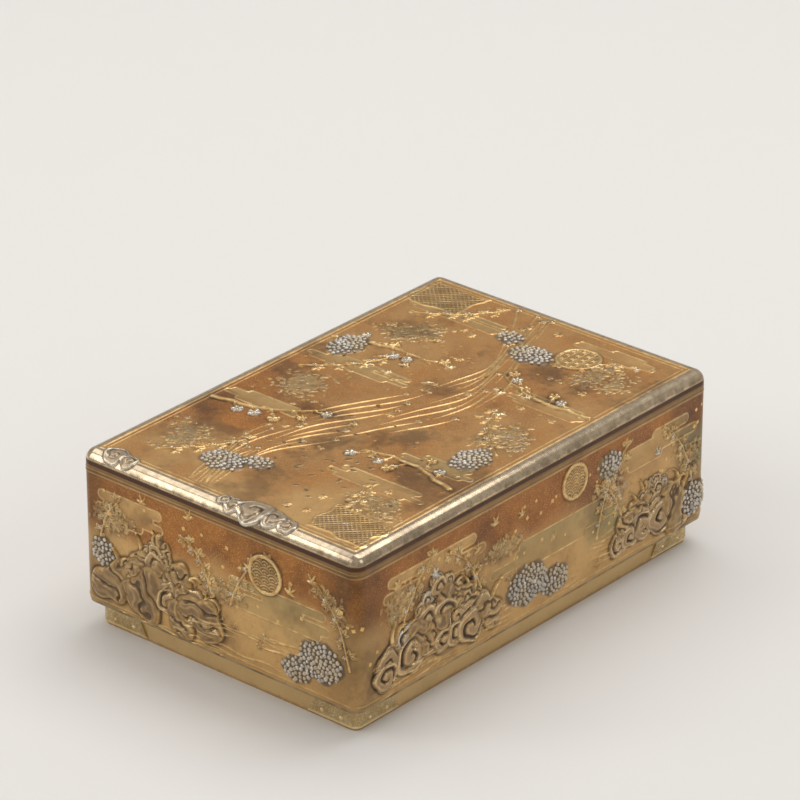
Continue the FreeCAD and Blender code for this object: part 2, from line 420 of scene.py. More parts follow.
LAYERS = ("tone", "gold", "silver", "wash", "mist")
PEAKS = 64  # random hills each way before they repeat


def smooth(low, high, value):
    share = np.clip((value - low) / (high - low), 0, 1)
    return share * share * (3 - 2 * share)


class Sheet:
    """A grid of points on the lacquer, with its relief in mm and how much of each layer lies on it."""

    def __init__(self, name, along, up, place, turn=None):
        self.name, self.along, self.up, self.place, self.turn = name, along, up, place, turn
        self.height = np.zeros((len(up), len(along)))
        self.layers = {layer: np.zeros_like(self.height) for layer in LAYERS}

    def lay(self, where, cover, height=None, **layers):
        if height is not None:
            self.height[where] += cover * (height - self.height[where])
        for layer, amount in layers.items():
            self.layers[layer][where] += cover * (amount - self.layers[layer][where])


def drift(sheet, size, seed):
    """Smooth random hills between 0 and 1, about size across, on a sheet's points."""
    peaks = np.random.default_rng(seed).random((PEAKS, PEAKS))
    a, b = np.meshgrid(sheet.along / size, sheet.up / size)
    column, row = np.floor(a).astype(int), np.floor(b).astype(int)
    levels = []
    for k in (0, 1):
        near, far = (peaks[(row + k) % PEAKS, (column + j) % PEAKS] for j in (0, 1))
        levels.append(near + smooth(0, 1, a - column) * (far - near))
    return levels[0] + smooth(0, 1, b - row) * (levels[1] - levels[0])


def hills(sheet, size, seed):
    """Random hills on a sheet, levelled out at the one corner where both ends of the sides' picture meet."""
    found = drift(sheet, size, seed)
    if not sheet.turn:
        return found
    gap = np.minimum(abs(sheet.along + SECOND_TURN), abs(sheet.along - SECOND_TURN - 2 * FIRST_TURN))
    return 0.5 + (found - 0.5) * smooth(0, 16, gap)


def around_the_sides(along, up):
    """Points, outward directions and the two directions on the skin, for places around the four sides."""
    stretches = [SHORT_SIDE / 2, BEND, LONG_SIDE, BEND, SHORT_SIDE, BEND, LONG_SIDE, BEND, SHORT_SIDE / 2]
    ends = np.r_[0, np.cumsum(stretches)]
    along = along % AROUND
    x = np.interp(along, ends, [0, 1, 1, 1, 1, -1, -1, -1, -1, 0]) * SHORT_SIDE / 2
    y = np.interp(along, ends, [-1, -1, -1, 1, 1, 1, 1, -1, -1, -1]) * LONG_SIDE / 2
    turn = np.interp(along, ends, [0, 0, 1, 1, 2, 2, 3, 3, 4, 4]) * math.pi / 2
    middle = np.stack([x, y, 0 * turn], -1)
    out = np.stack([np.sin(turn), -np.cos(turn), 0 * turn], -1)
    side = np.stack([np.cos(turn), np.sin(turn), 0 * turn], -1)
    roll = np.clip((up - SHOULDER) / EDGE, 0, math.pi / 2)[:, None, None]
    lift = np.array([0.0, 0.0, 1.0])
    normal = out * np.cos(roll) + lift * np.sin(roll)
    upward = lift * np.cos(roll) - out * np.sin(roll)
    height = np.minimum(up, SHOULDER)[:, None, None] * lift
    points = middle + out * (CORNER - EDGE) + normal * EDGE + height
    return points, normal, np.broadcast_to(side, points.shape), upward


def on_the_top(along, up):
    x, y = np.meshgrid(along, up)
    points = np.stack([x, y, np.full_like(x, CROWN)], -1)
    unit = np.eye(3)
    return (points, *(np.broadcast_to(unit[k], points.shape) for k in (2, 0, 1)))


def evenly(low, high, step):
    return np.linspace(low, high, int(round((high - low) / step)) + 1)


EVERYWHERE = slice(None)
SIDES, TOP = [], []
for name, start, end, step in (
    ("front", -FIRST_TURN, FIRST_TURN, END_STEP),
    ("right", FIRST_TURN, SECOND_TURN, SIDE_STEP),
    ("back", SECOND_TURN, SECOND_TURN + 2 * FIRST_TURN, END_STEP),
    ("left", -SECOND_TURN, -FIRST_TURN, SIDE_STEP),
):
    along, up = evenly(start, end, step), evenly(SKIRT, SIDES_TOP, step)
    SIDES.append(Sheet(name, along, up, around_the_sides, AROUND))
for name, start, end in (("top_front", -FLAT_Y, 0), ("top_back", 0, FLAT_Y)):
    TOP.append(Sheet(name, evenly(-FLAT_X, FLAT_X, TOP_STEP), evenly(start, end, TOP_STEP), on_the_top))
for sheet in SIDES:
    level = sheet.up[:, None] + 10 * (hills(sheet, 22, 3) - 0.5) + 5 * (hills(sheet, 9, 4) - 0.5)
    sheet.layers["tone"] += smooth(45, 33, level)
    band = smooth(22, 30, level) * smooth(46, 38, level)
    sheet.layers["mist"] += smooth(0.55, 0.8, hills(sheet, 26, 5)) * band
for sheet in TOP:
    bank = hills(sheet, 34, 6) * 0.6 + hills(sheet, 11, 7) * 0.3 + hills(sheet, 4, 8) * 0.1
    sheet.layers["tone"] += 0.9 - 0.5 * smooth(0.3, 0.6, bank) - 0.4 * smooth(0.6, 0.75, bank)
    # Less powder towards the back makes the top darker there: painted shade against the stronger reflection
    # at the back.
    sheet.layers["tone"] *= 1 - 0.4 * smooth(-75, -35, sheet.up)[:, None]


# ---- Cover: waves in high relief ----
# Putty of lacquer and charcoal is built up in low heads, cut with spiral grooves and covered in gold. Rims
# are rubbed bright and grooves hold dirt; their colours also carry painted highlight and painted shade, and a
# painted shadow rings each head. Small heads break off above, and ripples run out below.


def spots(sheets, at, reach):
    """The part of each sheet within reach of a place, and how far its points lie from there in x and y."""
    reach = np.broadcast_to(reach, 2)
    for sheet in sheets:
        along, up = sheet.along - at[0], sheet.up - at[1]
        if sheet.turn:
            along = (along + sheet.turn / 2) % sheet.turn - sheet.turn / 2
        columns, rows = np.flatnonzero(abs(along) < reach[0]), np.flatnonzero(abs(up) < reach[1])
        if len(columns) and len(rows):
            yield sheet, np.ix_(rows, columns), *np.meshgrid(along[columns], up[rows])


def dome(r):
    """The height of a round dome, 1 in its middle and 0 at its edge, where r is 1."""
    return np.sqrt(np.clip(1 - r**2, 0, 1))


def zigzag(value):
    """Rises and falls evenly between 0 and 1, once for each whole number."""
    return abs(value % 1.0 - 0.5) * 2


def heading_of(path, k):
    way = path[k + 1] - path[k]
    return math.atan2(way[1], way[0])


def beside(path, x, y):
    """How far each point is from a path, and how far along the path its nearest place is, 0 to 1."""
    best, along = np.full(x.shape, 1e9), np.zeros(x.shape)
    for k, (a, b) in enumerate(zip(path[:-1], path[1:])):
        step = b - a
        share = np.clip(((x - a[0]) * step[0] + (y - a[1]) * step[1]) / (step @ step), 0, 1)
        gap = np.hypot(x - a[0] - share * step[0], y - a[1] - share * step[1])
        along = np.where(gap < best, (k + share) / (len(path) - 1), along)
        best = np.minimum(gap, best)
    return best, along


def stroke(sheets, path, wide, lift, **layers):
    """A raised line with a rounded top along a path. Its half widths in mm run evenly from end to end."""
    path = np.asarray(path, float)
    middle = (path.min(0) + path.max(0)) / 2
    for sheet, where, x, y in spots(sheets, middle, np.ptp(path, axis=0) / 2 + max(wide) + 0.4):
        gap, along = beside(path - middle, x, y)
        width = np.interp(along, np.linspace(0, 1, len(wide)), wide)
        under = sheet.height[where]
        top = np.maximum(under, 0.5 * under + lift * dome(gap / np.maximum(width + 0.1, 0.05)))
        sheet.lay(where, smooth(width + 0.16, width - 0.12, gap), top, **layers)


def arc(start, heading, length, curl, points=14):
    """A path that starts in a heading and bends by curl, in turns, more towards its end."""
    angle = 2 * math.pi * (heading + curl * np.linspace(0, 1, points) ** 1.6)
    steps = np.stack([np.cos(angle), np.sin(angle)], -1) * length / (points - 1)
    return np.concatenate([[start], np.asarray(start) + np.cumsum(steps[:-1], axis=0)])


def build_up(sheet, where, r, height, **shown):
    """Putty out to where r is 1, with its layers, and a dark edge of painted shadow around it."""
    # A dark ring round the putty: painted shadow.
    sheet.lay(where, 0.75 * smooth(1.25, 1.0, r), wash=0.8)
    sheet.lay(where, smooth(1.03, 0.95, r), height, tone=1.0, mist=0.0, **shown)


def billow(sheets, at, size, turn, hand, lift, silver=0.0):
    """One curled head: a low uneven dome with a spiral groove and a bright rim, with painted highlight on the
    rim and crests and painted shade in the groove and body.
    """
    for sheet, where, x, y in spots(sheets, at, size * 1.35):
        around = np.arctan2(y, x)
        edge = 1 + 0.07 * np.cos(3 * around + 40 * turn) + 0.05 * np.cos(5 * around + 90 * turn)
        r = np.hypot(x, y * 1.08) / (size * edge)
        coil = zigzag(hand * around / (2 * math.pi) + turn + 1.6 * r**0.75)
        groove = smooth(0.45, 0.95, coil) * smooth(0.1, 0.25, r) * smooth(1.0, 0.88, r)
        rim = smooth(0.74, 0.9, r)
        # Brighter on the rim and crests: painted highlight with wear. The groove and body get painted shade
        # with dirt.
        bright = np.clip(0.15 + 0.6 * (1 - groove) * smooth(0.3, 0.7, coil) * smooth(0.2, 0.6, r) + rim, 0, 1)
        build_up(
            sheet, where, r, lift * (0.45 + 0.55 * dome(r) - 0.6 * groove + 0.16 * rim),
            gold=bright * (1 - silver),
            silver=silver * (0.4 + 0.6 * bright) + 0.12 * (1 - silver),
            wash=0.72 * groove + 0.52 * (1 - bright),
        )


def crag(sheets, at, size, seed, lift):
    """A weathered rock: a lump with an uneven outline, broken into ridges, with painted highlight on the
    ridges and rim and painted shade in the cracks.
    """
    draw = np.random.default_rng(seed)
    phase = draw.uniform(0, 6.28, 4)
    slope = draw.uniform(0, 6.28)
    for sheet, where, x, y in spots(sheets, at, size * 1.5):
        around = np.arctan2(y, x)
        edge = 1 + sum(a * np.cos(k * around + phase[k - 2]) for k, a in ((2, 0.16), (3, 0.12), (5, 0.07)))
        r = np.hypot(x, y) / (size * edge)
        rough = (drift(sheet, size / 1.9, seed) + 0.3 * drift(sheet, size / 4, seed))[where]
        tilt = (x * math.cos(slope) + y * math.sin(slope)) / size
        ridge = zigzag(1.3 * tilt + 0.9 * rough)
        crack = smooth(0.7, 0.95, ridge) * smooth(1.0, 0.85, r)
        rim = smooth(0.78, 0.92, r)
        # Brighter on the ridges and rim: painted highlight. The cracks and body get painted shade.
        bright = np.clip(0.7 * smooth(0.35, 0.1, ridge) + rim, 0, 1)
        build_up(
            sheet, where, r, lift * (0.4 + 0.6 * dome(r) - 0.45 * crack + 0.25 * (1 - ridge) * (1 - rim)),
            gold=0.1 + 0.5 * bright,
            silver=0.14 * (1 - bright),
            wash=0.4 + 0.3 * (1 - bright) + 0.2 * crack,
        )


def ripples(sheets, at, length, count, seed):
    """Thin raised lines of water, each a run of long low swells that thins out at both ends."""
    draw = np.random.default_rng(seed)
    for k in range(count):
        x = np.linspace(0, length * draw.uniform(0.45, 1.0), 26)
        start = at[0] + draw.uniform(-0.5, 0.15) * length
        y = at[1] - 1.7 * k + 0.55 * np.sin(x / draw.uniform(2.6, 4.2) + draw.uniform(0, 6))
        path = np.stack([start + x, y], -1)
        stroke(sheets, path, [0.02, 0.22, 0.26, 0.22, 0.02], 0.24, gold=0.95, wash=0.0)


def surge(sheets, at, width, rise, silver, seed):
    """Waves that break on rocks: curled heads, small behind and large in front, with spouts and ripples."""
    draw = np.random.default_rng(seed)
    for k in range(int(width / 5)):
        x = draw.uniform(-0.5, 0.5) * width
        foot = (at[0] + x, at[1] + 0.6 * rise * max(0.1, 1 - (2 * x / width) ** 2) ** 0.6)
        path = arc(foot, draw.uniform(0.15, 0.35), draw.uniform(6, 12), draw.uniform(-0.6, 0.6))
        stroke(sheets, path, [1.2, 0.9, 0.6, 0.35, 0.15], 0.9, gold=0.9, tone=1.0, wash=0.05)
        for size in (0.55, 0.4):
            billow(sheets, path[-1] + draw.uniform(-2.2, 2.2, 2), size, 0, 1, 0.45)
    rows = max(3, int(rise / 4))
    for row in range(rows):
        share = (row + 0.5) / rows
        half = width / 2 * math.sqrt(share) * 1.02
        x = -half + draw.uniform(0, 2)
        while x < half:
            size = (1.9 + 3.4 * share) * draw.uniform(0.6, 1.5)
            mound = rise * (1 - share) * (1 - 0.45 * (x / half) ** 2) + draw.uniform(-1.6, 1.6)
            spot = (at[0] + x, at[1] + mound)
            if draw.random() < 0.28:
                crag(sheets, spot, size * 1.25, int(draw.integers(1000)), 0.9 + 0.5 * share)
            else:
                kind = silver if draw.random() < 0.9 else 0.85
                hand = 1 if draw.random() < 0.5 else -1
                billow(sheets, spot, size, draw.random(), hand, 0.8 + 0.6 * share, kind)
            x += size * draw.uniform(1.25, 1.65)
    ripples(sheets, (at[0], at[1] - 4.5), width * 1.1, 4, seed + 1)


# ---- Cover: bands of mist ----
# Long fingers of mist with round ends, dusted with gold that fades downwards and drawn round in a fine line.
# They part what is near from what is far, and fill the calm places in between.

MELT = 3.2  # how sharply the fingers run together


def mist_band(sheets, at, length, green, seed, thick=1.9):
    draw = np.random.default_rng(seed)
    fingers = []
    for k in range(4):
        half = length / 2 * (draw.uniform(0.35, 0.95) if k != 1 else 1.0)
        shift = draw.uniform(-0.6, 0.6) * (length / 2 - half)
        fingers.append((shift, (k - 1.5) * thick * 1.3, half))
    for sheet, where, x, y in spots(sheets, at, (length / 2 + 4, thick * 5)):
        near = 0.0
        for shift, level, half in fingers:
            off = np.maximum(abs(x - shift) - half + thick, 0)
            near = near + np.exp(-MELT * (np.hypot(off, y - level) - thick))
        gap = -np.log(near) / MELT
        inside = smooth(0.3, -0.3, gap)
        fade = smooth(-thick * 4, thick * 3, y)
        sheet.lay(where, inside * (0.25 + 0.75 * fade), tone=1.0)
        sheet.lay(where, inside * (0.25 + 0.35 * fade) * green, mist=1.0)
        line = smooth(0.34, 0.14, abs(gap + 0.25))
        sheet.lay(where, line, np.maximum(sheet.height[where], 0.18), gold=0.9, wash=0.0, tone=1.0)


# ---- Cover: plants ----
# Bush clover, plum and maple in flat raised gold. Veins and the gaps between petals are left in dark lacquer,
# and stems thin out towards their tips.


def leaf(sheets, at, length, width, turn, lift=0.4, **layers):
    for sheet, where, x, y in spots(sheets, at, length + 0.5):
        c, s = math.cos(turn), math.sin(turn)
        along, aside = (x * c + y * s) / length, abs(y * c - x * s)
        half = width / 2 * np.sin(math.pi * np.clip(along, 0, 1)) ** 0.8
        cover = smooth(half + 0.14, half - 0.1, aside) * (along > 0) * (along < 1)
        vein = smooth(0.22, 0.05, aside) * smooth(0.95, 0.7, along)
        top = lift * (1 - 0.45 * (aside / np.maximum(half, 0.1)) ** 2 - 0.5 * vein)
        shown = {"gold": 0.85 - 0.5 * vein, "wash": 0.75 * vein, "tone": 1.0, **layers}
        sheet.lay(where, cover, 0.4 * sheet.height[where] + top, **shown)


def flower(sheets, at, size, petals, turn, lift=0.6, silver=0.0, wash=0.0):
    for sheet, where, x, y in spots(sheets, at, size * 1.3):
        r = np.hypot(x, y)
        lobe = abs(np.cos(petals / 2 * (np.arctan2(y, x) - turn)))
        edge = size * (0.66 + 0.34 * lobe**0.55)
        between = smooth(0.42, 0.1, lobe) * smooth(0.2, 0.4, r / size)
        heart = smooth(0.3, 0.2, r / size)
        top = lift * (0.5 + 0.5 * lobe * smooth(0, 0.6, r / edge) - 0.45 * between + 0.3 * heart)
        shown = {
            "gold": (1 - silver) * (0.95 - 0.4 * between) + silver * heart,
            "silver": silver * (1 - heart),
            "wash": np.maximum(0.8 * between, wash),
        }
        sheet.lay(where, 0.6 * smooth(size * 1.28, size * 0.95, r), wash=0.6)
        cover = smooth(edge + 0.14, edge - 0.12, r)
        sheet.lay(where, cover, 0.4 * sheet.height[where] + top, tone=1.0, **shown)


def thicket(sheets, at, reach, count, silver, seed, dull):
    """A dense clump of small leaves and buds, loose at its edge, with dark lacquer showing between them."""
    draw = np.random.default_rng(seed)
    for sheet, where, x, y in spots(sheets, at, (1.3 * reach[0], 1.3 * reach[1])):
        uneven = 0.35 * drift(sheet, 4, seed)[where]
        sheet.lay(where, 0.55 * smooth(1.25, 0.7, np.hypot(x / reach[0], y / reach[1]) + uneven), wash=0.7)
    lumps = draw.uniform(-0.55, 0.55, (5, 2)) * reach
    for k in range(int(1.5 * count)):
        spot = at + lumps[k % 5] + draw.normal(0, 0.26, 2) * reach
        size = draw.uniform(0.45, 1.1)
        bright = draw.uniform(0.15, 1.0) * (1 - dull)
        if draw.random() < 0.4:
            shown = silver * (draw.random() < 0.5)
            flower(sheets, spot, size, 5, draw.uniform(0, 6), 0.45 * (1 - dull), shown, 0.6 * (1 - bright))
        else:
            turn = draw.uniform(0, 6.28)
            shown = {"gold": bright, "wash": 0.5 * (1 - bright)}
            leaf(sheets, spot, 2.6 * size, 1.2 * size, turn, 0.4 * (1 - dull), **shown)


def clover(sheets, root, heading, length, curl, seed):
    """A bending stem with small round leaves in threes along it and buds at its end."""
    draw = np.random.default_rng(seed)
    path = arc(root, heading, length, curl, 20)
    stroke(sheets, path, [0.42, 0.34, 0.26, 0.16], 0.5, gold=0.9, tone=1.0, wash=0.0)
    for k in range(3, len(path) - 1, 2):
        turn = heading_of(path, k)
        side = 1 if k % 4 == 1 else -1
        reach = turn + side * draw.uniform(0.8, 1.2)
        way = np.array([math.cos(reach), math.sin(reach)])
        foot = path[k] + 1.1 * way
        stroke(sheets, [path[k], foot], [0.14, 0.14], 0.35, gold=0.9)
        for off in (-1.0, 0.0, 1.0):
            scale = draw.uniform(0.85, 1.1)
            leaf(sheets, foot, 2.7 * scale, 1.6 * scale, reach + off, gold=0.95 - 0.35 * abs(off))
        if side < 0:
            flower(sheets, path[k] - 1.2 * way, 0.8, 4, turn, 0.5, 0.8)


def maple(sheets, at, size, turn, **layers):
    """Seven pointed leaves spread from one foot, the outer ones shorter."""
    for k in range(-3, 4):
        long = size * (1.0, 0.92, 0.74, 0.42)[abs(k)]
        leaf(sheets, at, long, 0.42 * long, turn + 0.72 * k, **layers)


def plum(sheets, root, heading, length, curl, seed):
    """A knotty branch with round blossoms and buds."""
    draw = np.random.default_rng(seed)
    path = arc(root, heading, length, curl, 12)
    path[2:-1:3] += draw.uniform(-0.9, 0.9, path[2:-1:3].shape)
    stroke(sheets, path, [1.1, 0.8, 0.75, 0.4, 0.2], 0.75, gold=0.55, tone=1.0, wash=0.35)
    for k in range(2, len(path) - 1, 2):
        turn = heading_of(path, k) + draw.choice([-1, 1]) * draw.uniform(0.5, 1.1)
        twig = arc(path[k], turn / (2 * math.pi), draw.uniform(4, 8), draw.uniform(-0.1, 0.1), 6)
        stroke(sheets, twig, [0.35, 0.2, 0.1], 0.5, gold=0.8, wash=0.1, tone=1.0)
        size, spin = draw.uniform(1.7, 2.4), draw.uniform(0, 6)
        flower(sheets, twig[-1], size, 5, spin, 0.75, float(draw.random() < 0.4))
        flower(sheets, twig[3] + draw.uniform(-0.6, 0.6, 2), 0.8, 5, 0, 0.5)


# ---- Cover: plovers, roundels and patterned grounds ----
# Small figures in flat raised gold. The roundels are rings filled with scale waves, and the lattice is drawn
# in fine gold lines on a dark lacquer ground.


def plover(sheets, at, size, turn, silver):
    """A small bird in flight: a body, two bent wings and a beak."""
    c, s = math.cos(turn) * size, math.sin(turn) * size

    def part(points, wide, lift):
        path = [(at[0] + x * c - y * s, at[1] + x * s + y * c) for x, y in points]
        stroke(sheets, path, wide, lift, gold=1.0 - silver, silver=silver, tone=1.0, wash=0.0)

    part([(-1.0, 0.1), (-0.2, 0), (0.55, 0.15)], [0.1 * size, 0.36 * size, 0.24 * size], 0.5)
    for x, y in ((-0.75, 1.35), (0.55, 1.3)):
        part([(0.05, 0.1), (x * 0.6, y * 0.7), (x, y)], [0.2 * size, 0.16 * size, 0.03], 0.45)
    part([(0.7, 0.2), (1.0, 0.15)], [0.08 * size, 0.02], 0.4)


def scale_waves(x, y, size):
    """Rows of overlapping scales: how far each point is from the centre of the scale it lies on, 0 to 1."""
    found = np.ones(x.shape)
    lowest = np.floor(y / (size / 2)).astype(int)
    for row in (lowest, lowest - 1, lowest - 2, lowest - 3):
        shift = np.where(row % 2 == 0, 0.0, size)
        aside = (x - shift + size) % (2 * size) - size
        gap = np.hypot(aside, y - row * size / 2) / size
        found = np.where(gap < 1, gap, found)
    return found


def roundel(sheets, at, size):
    for sheet, where, x, y in spots(sheets, at, size + 1.5):
        r = np.hypot(x, y)
        ridge = smooth(0.35, 0.8, zigzag(scale_waves(x, y, 3.2) * 3 + 0.5))
        shown = {"gold": 0.9 * ridge, "wash": 0.5 * (1 - ridge), "silver": 0.0}
        sheet.lay(where, 0.6 * smooth(size + 1.2, size, r), wash=0.6)
        sheet.lay(where, smooth(size, size - 0.4, r), 0.12 + 0.2 * ridge, tone=1.0, **shown)
        ring = smooth(0.75, 0.5, abs(r - size + 0.55))
        sheet.lay(where, ring, 0.55, gold=1.0, wash=0.0, tone=1.0)


def lattice(sheets, at, half, pitch, seed):
    """A dark patch with soft edges, crossed by fine gold lines both ways."""
    for sheet, where, x, y in spots(sheets, at, np.asarray(half) + 1):
        uneven = 3 * (drift(sheet, 5, seed)[where] - 0.7)
        edge = np.minimum(half[0] - abs(x), half[1] - abs(y)) + uneven
        cross = np.minimum(abs((x + y) % pitch - pitch / 2), abs((x - y) % pitch - pitch / 2))
        line = smooth(0.32, 0.12, cross)
        shown = {"gold": 0.8 * line, "wash": 0.75 * (1 - line)}
        sheet.lay(where, smooth(0, 0.5, edge), 0.14 + 0.14 * line, tone=1.0, **shown)
        sheet.lay(where, smooth(0.5, 0.2, abs(edge - 0.2)), 0.3, gold=0.95, wash=0.0)


# ---- Cover: the picture on the four sides ----
# A shore in autumn that runs once around the cover: wave masses, mist, bush clover and maple, plovers, and a
# roundel on each side. Upper parts stay in gold flakes and lower parts in close gold powder.

RIGHT = SHORT_SIDE / 2 + BEND + LONG_SIDE / 2
MIDDLES = (0, RIGHT, AROUND / 2, -RIGHT)  # of the front, right, back and left side, along the skin


def side_by_side(*sides):
    """Each row of four lists, one for each side: its place on the skin, and what else the row holds."""
    for middle, rows in zip(MIDDLES, sides):
        for x, up, *rest in rows:
            yield (middle + x, up), *rest


def one_by_one(motif, sheets, rows, seed, *rest):
    """The motif for each row, each time with the next seed."""
    for row in rows:
        motif(sheets, *row, seed, *rest)
        seed += 1


bands = side_by_side(
    [(26, 35.5, 44, 1.0), (-38, 47, 30, 0.0)],
    [(-52, 46, 50, 0.0), (8, 33, 66, 1.0), (62, 47, 42, 0.3)],
    [(-24, 37, 48, 1.0), (34, 48, 34, 0.0)],
    [(44, 45, 52, 0.0), (-12, 32, 64, 1.0), (-60, 47, 40, 0.4)],
)
one_by_one(mist_band, SIDES, bands, 21)

clumps = side_by_side(
    [(-46, 42, (9, 6), 90, 0.1), (2, 33, (11, 5), 110, 0.2), (50, 45, (7, 6), 70, 0.1)],
    [(-66, 40, (12, 7), 150, 0.2), (-20, 39, (12, 5), 120, 0.1), (36, 40, (10, 6), 110, 0.3),
     (78, 36, (8, 8), 110, 0.1)],
    [(-46, 42, (9, 6), 90, 0.2), (6, 34, (11, 5), 110, 0.1), (48, 42, (8, 7), 90, 0.2)],
    [(68, 40, (11, 7), 130, 0.2), (14, 38, (12, 5), 120, 0.1), (-40, 40, (10, 6), 110, 0.3),
     (-78, 37, (8, 8), 100, 0.1)],
)
one_by_one(thicket, SIDES, clumps, 41, 0.3)

stems = side_by_side(
    [(6, 30, 0.2, 30, -0.18), (-2, 31, 0.3, 22, 0.16), (-52, 30, 0.22, 24, -0.12), (56, 24, 0.28, 32, 0.14)],
    [(-70, 26, 0.2, 34, -0.14), (-28, 26, 0.3, 32, 0.16), (30, 24, 0.22, 36, -0.16), (44, 24, 0.3, 26, 0.14),
     (82, 22, 0.29, 36, 0.12)],
    [(-40, 26, 0.2, 32, -0.15), (4, 28, 0.3, 28, 0.14), (42, 24, 0.24, 32, -0.1)],
    [(62, 26, 0.28, 34, 0.15), (10, 27, 0.2, 32, -0.15), (-44, 25, 0.3, 34, 0.14),
     (-74, 24, 0.22, 34, -0.12)],
)
one_by_one(clover, SIDES, stems, 61)

breakers = side_by_side(
    [(-25, 18, 46, 25, 0.12)],
    [(-50, 18, 56, 27, 0.1), (60, 17, 40, 20, 0.2)],
    [(-20, 18, 48, 25, 0.12)],
    [(40, 18, 54, 26, 0.1), (-60, 17, 40, 21, 0.2)],
)
one_by_one(surge, SIDES, breakers, 81)

for at, size in side_by_side([(21, 46, 7.0)], [(18, 50, 6.5)], [(24, 46, 7.0)], [(78, 49, 6.5)]):
    roundel(SIDES, at, size)

for middle, half in zip(MIDDLES, (55, 85, 55, 85)):
    draw = np.random.default_rng(int(middle) % 1000)
    for k in range(int(half / 9)):
        at = (middle + draw.uniform(-0.9, 0.9) * half, draw.uniform(43, 55))
        plover(SIDES, at, draw.uniform(1.6, 2.3), draw.uniform(-0.5, 0.5), float(draw.random() < 0.4))
    for k in range(int(half / 6)):
        at = (middle + draw.uniform(-1, 1) * half, draw.uniform(14, 40))
        maple(SIDES, at, draw.uniform(1.8, 2.8), draw.uniform(0, 6.28), gold=draw.uniform(0.5, 1.0))
    for k in range(int(half / 8)):
        at = (middle + draw.uniform(-0.9, 0.8) * half, draw.uniform(13, 24))
        ripples(SIDES, at, draw.uniform(12, 26), 3, draw.integers(1000))


# ---- Cover: the picture on the top ----
# A stream runs across gold ground between banks of plum, maple and clover, inside a double frame line. A
# cloud in silver rolls over the front edge.

bands = (
    ((30, -46), 40, 0.2), ((37, -24), 30, 1.0), ((-30, 14), 44, 0.6), ((36, 32), 32, 0.2),
    ((-30, 66), 42, 0.8), ((30, 76), 34, 0.0), ((-37, -26), 32, 0.6),
)
one_by_one(mist_band, TOP, bands, 121, 1.4)

draw = np.random.default_rng(17)
for k in range(8):
    y = np.linspace(-82, 82, 90)
    x = 14 * np.sin(y / 27 + 0.6) - 4 + (k - 3.5) * (2.6 + 1.3 * np.sin(y / 21 + 2))
    x = x + 0.9 * np.sin(y / 5.5 + 1.1 * k) * smooth(0, 1, abs(np.sin(y / 30 + k)))
    part = 0
    while part < 84:
        run = int(draw.integers(12, 30))
        path = np.stack([x, y], -1)[part : part + run]
        if len(path) > 5:
            stroke(TOP, path, [0.03, 0.24, 0.34, 0.24, 0.03], 0.26, gold=0.95, tone=1.0, wash=0.0)
            size, turn, hand = draw.uniform(0.9, 1.7), draw.random(), draw.choice([-1, 1])
            billow(TOP, path[-1] + (0.0, 0.9), size, turn, hand, 0.4)
        part += run + int(draw.integers(2, 9))

clumps = (
    ((-40, -62), (9, 10), 150, 0.2), ((38, -60), (12, 8), 160, 0.1), ((-38, -8), (11, 12), 190, 0.2),
    ((40, 4), (10, 12), 170, 0.3), ((-36, 46), (12, 10), 170, 0.1), ((38, 60), (11, 12), 180, 0.2),
)
one_by_one(thicket, TOP, clumps, 131, 0.45)

branches = (
    ((-52, -34), 0.02, 40, 0.14), ((50, -34), 0.45, 40, 0.12), ((52, 34), 0.52, 44, -0.14),
    ((-52, 26), 0.06, 40, -0.12),
)
one_by_one(plum, TOP, branches, 141)

stems = (
    ((-40, -74), 0.12, 34, 0.1), ((44, -76), 0.36, 34, -0.12), ((-46, 2), 0.1, 34, 0.14),
    ((46, -6), 0.4, 34, -0.12), ((-44, 58), 0.08, 34, 0.12), ((46, 74), 0.55, 34, 0.1),
)
one_by_one(clover, TOP, stems, 151)

draw = np.random.default_rng(7)
for k in range(46):
    at = (draw.uniform(-48, 48), draw.uniform(-78, 78))
    maple(TOP, at, draw.uniform(1.6, 2.8), draw.uniform(0, 6.28), gold=draw.uniform(0.3, 1.0))
for k in range(60):
    at = (draw.normal(12, 16), draw.normal(-40, 14))
    length, width, turn = draw.uniform(2.0, 3.2), draw.uniform(0.9, 1.3), draw.normal(0.2, 0.5)
    leaf(TOP, at, length, width, turn, 0.2, gold=0.1, wash=0.9)
for k in range(9):
    at = (draw.uniform(-30, 44), draw.uniform(12, 40))
    plover(TOP, at, draw.uniform(1.7, 2.4), draw.uniform(0, 1.2), 0.3)

for x, y in ((-1, 1), (1, -1)):
    lattice(TOP, (x * (FLAT_X - 13), y * (FLAT_Y - 12)), (12, 9), 2.0, 8)
roundel(TOP, (22, 66), 8.0)
for inset, half in ((0.95, 0.3), (2.6, 0.2)):
    x, y = FLAT_X - inset, FLAT_Y - inset
    ends = [(-x, -y), (x, -y), (x, y), (-x, y), (-x, -y)]
    for k in range(4):
        stroke(TOP, ends[k : k + 2], [half, half], 0.25, gold=1.0, wash=0.0, tone=1.0)

for x, over, size, turn, hand in (
    (5, -0.6, 3.6, 0.3, 1), (0.5, 0.2, 2.6, 0.8, -1), (27.5, -0.2, 3.4, 0.2, 1), (21, 0.6, 4.6, 0.6, -1),
    (12.5, 0.4, 6.2, 0.1, 1), (-47, 0.0, 4.4, 0.4, 1), (-40.5, -0.6, 3.2, 0.1, -1),
):
    billow(SIDES, (x, SIDES_TOP + over), size, turn, hand, 0.8, 0.95)
    billow(TOP, (x, -FLAT_Y + over), size, turn, hand, 0.8, 0.95)


# ---- Cover: beds for the hydrangea heads ----
# Each head of blossoms sits on a low mound of lacquer, a little uneven at its edge, painted dark as the shade
# between the blossoms. The blossoms are cast apart and set on it one by one later.

